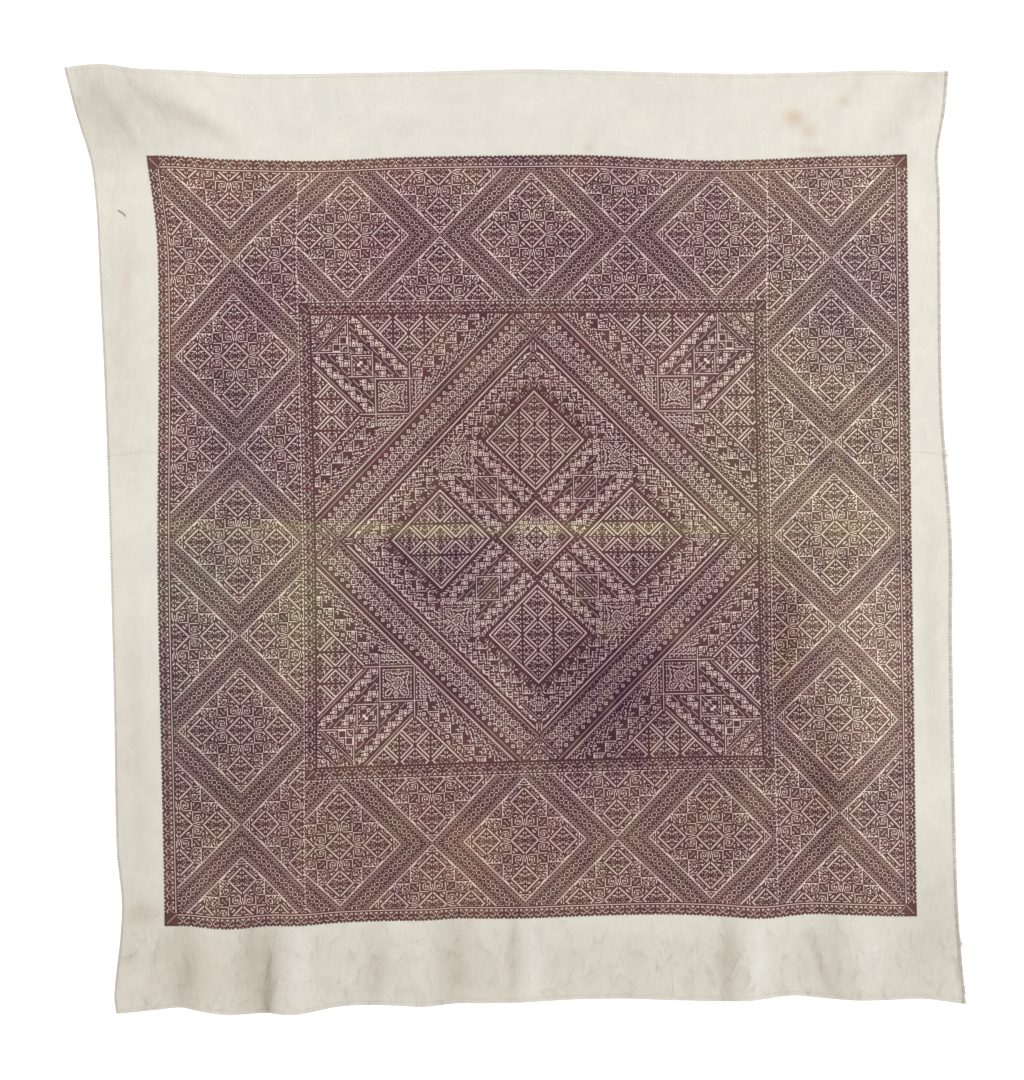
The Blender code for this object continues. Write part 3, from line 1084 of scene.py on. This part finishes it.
def make_thread(name, colour, shade_low, shade_high):
    """Twisted sewing thread: matt, with light and dark lengths a few millimetres long."""
    material = new_material(name, colour, 0.8, Sheen_Weight=0.2, Specular_IOR_Level=0.3)
    tree = material.node_tree
    base = add_node(tree, "ShaderNodeMix", {"data_type": "RGBA"})
    # The node's sockets for colours: its share, its two colours and its result
    tree.links.new(stretched_grain(tree, (1.0, 1.0, 1.0), 0.006), base.inputs[0])
    base.inputs[6].default_value = to_linear(shade_low)
    base.inputs[7].default_value = to_linear(shade_high)
    feed_shader(tree, Base_Color=base.outputs[2])
    return material


cotton = make_cotton()
silk = make_silk()
whip_thread_pink = make_thread("pink_brown_whipping", "#bfa79b", "#a88c81", "#d8c7bd")
whip_thread_grey = make_thread("grey_brown_whipping", "#a59a8d", "#8b7d71", "#c9bfb2")
seam_thread = make_thread("seam_thread", "#c9bfae", "#b9ae9d", "#dcd4c5")
brown_thread = make_thread("brown_thread", "#7a5646", "#6a4638", "#8d6857")
hem_thread = make_thread("hem_thread", "#cfc7b8", "#c0b6a6", "#ddd6c9")
backdrop_white = new_material("backdrop_white", "#fcfcfa", 0.95)


def link_mesh(name, vertices, faces, material, slot=None, smooth=True):
    """A mesh object from arrays of points and equal-sided faces."""
    mesh = bpy.data.meshes.new(name)
    corners = faces.shape[1]
    mesh.vertices.add(len(vertices))
    mesh.vertices.foreach_set("co", np.ascontiguousarray(vertices, dtype=np.float32).ravel())
    mesh.loops.add(faces.size)
    mesh.loops.foreach_set("vertex_index", faces.ravel().astype(np.int32))
    mesh.polygons.add(len(faces))
    mesh.polygons.foreach_set("loop_start", np.arange(0, faces.size, corners, dtype=np.int32))
    mesh.update(calc_edges=True)
    mesh.validate()
    mesh.materials.append(material)
    piece = bpy.data.objects.new(name, mesh)
    bpy.context.scene.collection.objects.link(piece)
    if slot:
        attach(piece, "root")
    if smooth:
        # Sharp only at real edges
        mesh.polygons.foreach_set("use_smooth", np.ones(len(mesh.polygons), dtype=bool))
        mesh.set_sharp_from_angle(angle=1.0)
    return piece


def paint_points(piece, name, colours):
    """Keeps a colour for each point of a piece."""
    attribute = piece.data.color_attributes.new(name, "FLOAT_COLOR", "POINT")
    attribute.data.foreach_set("color", np.ascontiguousarray(colours, dtype=np.float32).ravel())


def unfold(piece, places):
    """Lays the piece's points out flat, in a layer named OFBake."""
    layer = piece.data.uv_layers.new(name="OFBake")
    corners = np.empty(len(piece.data.loops), dtype=np.int32)
    piece.data.loops.foreach_get("vertex_index", corners)
    layer.uv.foreach_set("vector", np.ascontiguousarray(places[corners], dtype=np.float32).ravel())


def field_row(drop):
    """Counted row near a drop, by even spacing."""
    first = FIELD_ROWS[0][0].drop
    last = FIELD_ROWS[STITCHES][0].drop
    return STITCHES * (drop - first) / (last - first)


def field_column(x):
    """Counted column near a place across, by even spacing."""
    first = FIELD_ROWS[0][0].x
    last = FIELD_ROWS[0][-1].x
    return STITCHES * (x - first) / (last - first)


def in_worked_field(x, drop):
    """1 inside the worked field and 0 outside it, a little in from its edge."""
    inset = 0.003
    left, right = [read_rows(list(FIELD_ROWS), [points[end].x for points in FIELD_ROWS.values()],
                             field_row(drop)) for end in (0, -1)]
    top, foot = [read_rows([p.column for p in FIELD_ROWS[row]], [p.drop for p in FIELD_ROWS[row]],
                           field_column(x)) for row in (0, STITCHES)]
    inside = (x > left + inset) & (x < right - inset) & (drop > top + inset) & (drop < foot - inset)
    return inside.astype(float)


def make_panel(name, rows, top_share, foot_share, node):
    """One loom width of thin cotton: front, back and rim."""
    across = np.linspace(0.0, 1.0, COTTON_COLUMNS + 1)
    down = np.linspace(top_share, foot_share, rows + 1)
    grid_across, grid_down = [grid.ravel() for grid in np.meshgrid(across, down)]
    x, drop = outline_points(grid_across, grid_down)
    y = cloth_depth(x, drop)
    front = np.stack([x, y, -drop], axis=1)
    back = np.stack([x, y + COTTON_THICKNESS, -drop], axis=1)
    count = len(front)
    index = np.arange(count).reshape(rows + 1, COTTON_COLUMNS + 1)
    corners = [index[:-1, :-1], index[1:, :-1], index[1:, 1:], index[:-1, 1:]]
    front_faces = np.stack([corner.ravel() for corner in corners], axis=1)
    back_faces = front_faces[:, (0, 3, 2, 1)] + count
    rim = np.concatenate([index[:, 0], index[-1, 1:], index[-2::-1, -1], index[0, -2:0:-1]])
    following = np.roll(rim, -1)
    rim_faces = np.stack([rim, rim + count, following + count, following], axis=1)
    faces = np.concatenate([front_faces, back_faces, rim_faces])
    panel = link_mesh(name, np.concatenate([front, back]), faces, cotton, node)
    tones = cotton_tone(x, drop, in_worked_field(x, drop))
    paint_points(panel, "cloth_tone", np.concatenate([tones, tones]))
    # Unfolded, the front fills the left half and the back the right half, each with a narrow margin
    flat = np.stack([0.48 * grid_across + 0.01, 0.98 - 0.96 * grid_down], axis=1)
    unfold(panel, np.concatenate([flat, flat + np.array((0.5, 0.0))]))
    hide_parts(node)
    return panel


def make_embroidery(name, blocks, spread, offset, facing, slot):
    """Silk blocks a little off the cotton's face."""
    corners = []
    places = []
    for down, over in ((0, 0), (1, 0), (1, 1), (0, 1)):
        row = blocks[:, 0] + down * blocks[:, 2]
        column = blocks[:, 1] + over * blocks[:, 3]
        past_down = (spread[:, 2] if down else -spread[:, 0])[:, None]
        past_over = (spread[:, 3] if over else -spread[:, 1])[:, None]
        corners.append(stitch_points[row, column] + past_down * tangent_down[row, column]
                       + past_over * tangent_over[row, column] + stitch_normals[row, column] * offset)
        places.append(np.stack([column / STITCHES, 1.0 - row / STITCHES], axis=1))
    vertices = np.stack(corners, axis=1).reshape(-1, 3)
    faces = np.arange(len(vertices)).reshape(-1, 4)
    if facing < 0:
        faces = faces[:, ::-1]
    piece = link_mesh(name, vertices, faces, silk, slot, smooth=False)
    block_points = vertices.reshape(-1, 4, 3).mean(axis=1)
    tones = silk_tone(block_points[:, 0], -block_points[:, 2])
    tones[:, :3] *= np.random.default_rng(5).uniform(0.88, 1.12, (len(blocks), 1))
    paint_points(piece, "dye_tone", np.repeat(tones, 4, axis=0))
    unfold(piece, np.stack(places, axis=1).reshape(-1, 2))
    return piece


# The two widths meet at the seam with a hair's breadth between them
SEAM_GAP = 0.0001
upper_panel = make_panel("upper_panel", UPPER_ROWS, 0.0, SEAM_SHARE - SEAM_GAP, "upper_cloth")
lower_panel = make_panel("lower_panel", LOWER_ROWS, SEAM_SHARE + SEAM_GAP, 1.0, "lower_cloth")


def unit(vectors):
    """The same directions, each with a length of 1."""
    return vectors / np.linalg.norm(vectors, axis=-1, keepdims=True)


stitch_x, stitch_drop = field_points()
stitch_points = np.stack([stitch_x, cloth_depth(stitch_x, stitch_drop), -stitch_drop], axis=2)
tangent_down = np.gradient(stitch_points, axis=0)
tangent_over = np.gradient(stitch_points, axis=1)
stitch_normals = unit(np.cross(tangent_down, tangent_over))
SEAM_ROW = 256
SILK_LIFT = 0.0004
silk_places = paint_field() == SILK
sewn_pieces = {}
for width, first_row, end_row in (("upper", 0, SEAM_ROW), ("lower", SEAM_ROW, STITCHES)):
    blocks = merge_runs(silk_places[first_row:end_row])
    blocks[:, 0] += first_row
    spread = silk_spread(silk_places, blocks)
    sewn_pieces[width] = [
        make_embroidery(f"{width}_embroidery_{face}", blocks, spread, offset, facing, f"{width}_cloth")
        for face, offset, facing in (("front", SILK_LIFT, 1), ("back", -SILK_LIFT - COTTON_THICKNESS, -1))
    ]


def sew(name, points, faces, material, slot):
    """A piece that is sewn on one loom width, or is a turned edge of it."""
    piece = link_mesh(name, points, faces, material, slot)
    sewn_pieces[slot.split("_")[0]].append(piece)
    return piece


def cloth_points(across, down):
    """Points of the cotton's middle layer from shares across and down."""
    x, drop = outline_points(np.asarray(across, float), np.asarray(down, float))
    return np.stack([x, cloth_depth(x, drop) + COTTON_THICKNESS / 2, -drop], axis=1)


def sweep(path, radius, sides):
    """Points and faces of a round cord along a path; the radius may change along it."""
    along = unit(np.gradient(path, axis=0))
    side = unit(np.cross(along, np.array((0.31, 0.87, 0.38))))
    up = np.cross(side, along)
    turns = 2 * pi * np.arange(sides) / sides
    radius = np.broadcast_to(radius, len(path))[:, None, None]
    ring = np.cos(turns)[None, :, None] * side[:, None, :] + np.sin(turns)[None, :, None] * up[:, None, :]
    points = (path[:, None, :] + radius * ring).reshape(-1, 3)
    step = np.arange(len(path) - 1)[:, None] * sides
    here = np.arange(sides)[None, :]
    after = (here + 1) % sides
    faces = np.stack([step + here, step + after, step + sides + after, step + sides + here], axis=2)
    return points, faces.reshape(-1, 4)


def cotton_cord(name, path, radius, slot):
    """A rolled or folded edge of the cotton itself, unfolded as a tall strip."""
    sides = 8
    cord = sew(name, *sweep(path, radius, sides), cotton, slot)
    tones = cotton_tone(np.repeat(path[:, 0], sides), np.repeat(-path[:, 2], sides))
    paint_points(cord, "cloth_tone", tones)
    down = np.repeat(np.linspace(0.01, 0.99, len(path)), sides)
    around = np.tile(np.linspace(0.0, 1.0, sides), len(path))
    unfold(cord, np.stack([around, 1.0 - down], axis=1))


def join_sweeps(paths, radius, sides):
    """Many cords as one set of points and faces."""
    points = []
    faces = []
    start = 0
    for path in paths:
        new_points, new_faces = sweep(path, radius, sides)
        points.append(new_points)
        faces.append(new_faces + start)
        start += len(new_points)
    return np.concatenate(points), np.concatenate(faces)


def along_path(path, spacing):
    """Even places along a path, so far apart."""
    lengths = np.concatenate([[0.0], np.cumsum(np.linalg.norm(np.diff(path, axis=0), axis=1))])
    at = np.arange(0.0, lengths[-1], spacing)
    return np.stack([np.interp(at, lengths, path[:, i]) for i in range(3)], axis=1)


def wind(path, radius, pitch):
    """A thread wound round a path, as a whipped edge or seam is."""
    steps = 7
    base = along_path(path, pitch / steps)
    forward = np.array((0.0, -1.0, 0.0))
    side = unit(np.cross(unit(np.gradient(base, axis=0)), forward))
    place = np.arange(len(base))
    turn = 2 * pi * place / steps
    wander = 1.0 + 0.16 * np.sin(0.37 * place) + 0.10 * np.sin(0.113 * place)
    reach = (radius * wander)[:, None]
    return base + reach * (np.cos(turn)[:, None] * side + np.sin(turn)[:, None] * forward)


# The side edges: rolled cotton, wound with thread
THREAD_SIDES = 4
EDGE_POINTS = 220
SIDE_EDGES = table(
    "name across top foot roll pitch thread material slot",
    ("left_upper", 0.0, 0.0, SEAM_SHARE, 0.0014, 0.0040, 0.00045, whip_thread_pink, "upper_cloth"),
    ("left_lower", 0.0, SEAM_SHARE, 1.0, 0.0015, 0.0046, 0.00045, whip_thread_grey, "lower_cloth"),
    ("right_upper", 1.0, 0.0, SEAM_SHARE, 0.0021, 0.0021, 0.00040, whip_thread_pink, "upper_cloth"),
    ("right_lower", 1.0, SEAM_SHARE, 1.0, 0.0023, 0.0021, 0.00042, whip_thread_pink, "lower_cloth"),
)
for edge in SIDE_EDGES:
    path = cloth_points(np.full(EDGE_POINTS, edge.across), np.linspace(edge.top, edge.foot, EDGE_POINTS))
    uneven = edge.roll * (1.0 + 0.12 * noise_field(path[:, 0], -path[:, 2], 0.02, 21))
    cotton_cord(f"{edge.name}_roll", path, uneven, edge.slot)
    thread_path = wind(path, edge.roll + 0.6 * edge.thread, edge.pitch)
    thread = sweep(thread_path, edge.thread, THREAD_SIDES)
    sew(f"{edge.name}_whipping", *thread, edge.material, edge.slot)

# The seam's stitches show in the two margins
SEAM_REACH = 0.0010
SEAM_PITCH = 0.0042
SEAM_THREAD = 0.00035
SEAM_POINTS = 60
for side, start, end in (("left", 0.002, 0.068), ("right", 0.948, 0.998)):
    path = cloth_points(np.linspace(start, end, SEAM_POINTS), np.full(SEAM_POINTS, SEAM_SHARE))
    thread = sweep(wind(path, SEAM_REACH, SEAM_PITCH), SEAM_THREAD, THREAD_SIDES)
    sew(f"{side}_seam_stitches", *thread, seam_thread, "upper_cloth")

# The narrow hems at the top and the foot: folded to the back and caught down with running stitches
HEMS = table(
    "name down inward slot",
    ("top", 0.0, 1.0, "upper_cloth"),
    ("foot", 1.0, -1.0, "lower_cloth"),
)
HEM_POINTS = 420
HEM_SHARE = 0.007 / PANEL_HEIGHT
HEM_FOLD_RADIUS = 0.0010
HEM_STITCH_PITCH = 0.0060
HEM_THREAD = 0.0003
# One running stitch comes up through the cloth, lies on it and goes down again
HEM_STITCH = np.array(
    ((-0.0016, 0.0, 0.0), (-0.0008, -0.0003, 0.0), (0.0008, -0.0003, 0.0), (0.0016, 0.0, 0.0)))
# The turned strip lies this far behind the cotton's middle
BEHIND = np.array((0.0, COTTON_THICKNESS + 0.0003, 0.0))
for hem in HEMS:
    across = np.linspace(0.001, 0.999, HEM_POINTS)
    edge_points, stitch_line, inner_points = [
        cloth_points(across, np.full(HEM_POINTS, hem.down + share * hem.inward * HEM_SHARE))
        for share in (0.0, 0.8, 1.0)]
    lines = [inner_points + BEHIND, inner_points + 1.8 * BEHIND, edge_points + 1.8 * BEHIND]
    points = np.stack(lines, axis=1).reshape(-1, 3)
    here = np.arange(HEM_POINTS - 1) * len(lines)
    after = here + len(lines)
    strip = np.stack([here, here + 1, after + 1, after], axis=1)
    turned = sew(f"{hem.name}_hem", points, np.concatenate([strip, strip + 1]), cotton, hem.slot)
    paint_points(turned, "cloth_tone", cotton_tone(points[:, 0], -points[:, 2]))
    cotton_cord(f"{hem.name}_hem_fold", edge_points + 0.4 * BEHIND, HEM_FOLD_RADIUS, hem.slot)
    stitch_line = along_path(stitch_line, HEM_STITCH_PITCH)
    stitch_line[:, 1] -= COTTON_THICKNESS / 2
    running = join_sweeps([place + HEM_STITCH for place in stitch_line], HEM_THREAD, THREAD_SIDES)
    sew(f"{hem.name}_hem_stitches", *running, hem_thread, hem.slot)

# Loose thread ends: a tuft at the seam's right end, fuzz at the lower right and one brown end on the left
TUFTS = table(
    "name across down count length thread material slot",
    ("seam_tuft", 1.0, SEAM_SHARE, 9, 0.007, 0.00035, whip_thread_pink, "upper_cloth"),
    ("low_right_fuzz", 1.0, 0.935, 14, 0.007, 0.00030, whip_thread_pink, "lower_cloth"),
    ("foot_corner_fuzz", 1.0, 0.985, 8, 0.006, 0.00030, whip_thread_pink, "lower_cloth"),
    ("left_seam_end", 0.0, SEAM_SHARE, 4, 0.006, 0.00030, seam_thread, "upper_cloth"),
)
for tuft in TUFTS:
    rng = np.random.default_rng(len(tuft.name))
    share = np.linspace(0.0, 1.0, 6)[:, None]
    sag = np.array((0.0, 0.0, -0.3 * tuft.length))
    paths = []
    for _ in range(tuft.count):
        down = tuft.down + rng.uniform(-0.6, 0.6) * tuft.length
        root = cloth_points([tuft.across], [down])[0]
        outward = (1.0 if tuft.across > 0.5 else -1.0) * tuft.length * rng.uniform(0.5, 1.0)
        drift = tuft.length * rng.uniform(-0.6, 0.5)
        forward = tuft.length * rng.uniform(-0.5, 0.2)
        paths.append(root + share * np.array((outward, forward, drift)) + share ** 2 * sag)
    sew(tuft.name, *join_sweeps(paths, tuft.thread, THREAD_SIDES), tuft.material, tuft.slot)

# One brown thread end lies caught on the left margin, a little off the cotton
BROWN_LIFT = 0.0006
BROWN_RADIUS = 0.0007
x, drop = np.array(((-0.609, 0.216), (-0.606, 0.219), (-0.603, 0.220), (-0.600, 0.223), (-0.598, 0.226))).T
on_cloth = np.stack([x, cloth_depth(x, drop) - BROWN_LIFT, -drop], axis=1)
sew("brown_thread_end", *sweep(on_cloth, BROWN_RADIUS, 6), brown_thread, "upper_cloth")


def make_backdrop():
    """Pale floor, well below the panel, that sweeps up behind it."""
    profile = [(-9.0, -2.3), (2.6, -2.3), (3.1, -2.22), (3.5, -2.0), (3.8, -1.6), (3.95, -1.0), (4.0, 5.0)]
    vertices = [(side, y, z) for side in (-9.0, 9.0) for y, z in profile]
    count = len(profile)
    faces = [(i, i + count, i + count + 1, i + 1) for i in range(count - 1)]
    floor_sweep = link_mesh("floor_sweep", np.array(vertices), np.array(faces), backdrop_white, smooth=False)
    floor_sweep.data.polygons.foreach_set("use_smooth", np.ones(count - 1, dtype=bool))


def add_area_light(name, place, target, size, power):
    """A soft box that looks at a point."""
    lamp = bpy.data.lights.new(name, "AREA")
    lamp.shape = "RECTANGLE"
    lamp.size, lamp.size_y = size
    lamp.energy = power
    holder = bpy.data.objects.new(name, lamp)
    holder.location = place
    holder.rotation_euler = (Vector(target) - Vector(place)).to_track_quat("-Z", "Y").to_euler()
    bpy.context.scene.collection.objects.link(holder)


make_backdrop()
add_area_light("key_softbox", (2.5, -1.9, 0.3), (0.2, 0.0, -0.75), (1.0, 1.8), 34.0)
add_area_light("left_softbox", (-2.5, -1.7, 0.2), (-0.2, 0.0, -0.75), (1.0, 1.8), 30.0)
add_area_light("backdrop_softbox", (0.0, 1.2, 2.6), (0.0, 4.0, -0.8), (5.0, 1.0), 160.0)

world = bpy.data.worlds.new("studio")
world.use_nodes = True
sky = world.node_tree.nodes["Background"]
sky.inputs["Color"].default_value = (1.0, 1.0, 1.0, 1.0)
sky.inputs["Strength"].default_value = 0.455
bpy.context.scene.world = world
bpy.context.scene.view_settings.view_transform = "Standard"

# The photograph's view: straight on, the panel's plane 1.690 m high in the frame
camera_data = bpy.data.cameras.new("camera")
camera_data.lens = 85.0
camera_data.sensor_width = 36.0
camera_data.clip_end = 60.0
camera = bpy.data.objects.new("camera", camera_data)
camera.location = (0.0094, -4.004, -0.734)
camera.rotation_euler = (pi / 2, 0.0, 0.0)
bpy.context.scene.collection.objects.link(camera)
bpy.context.scene.camera = camera
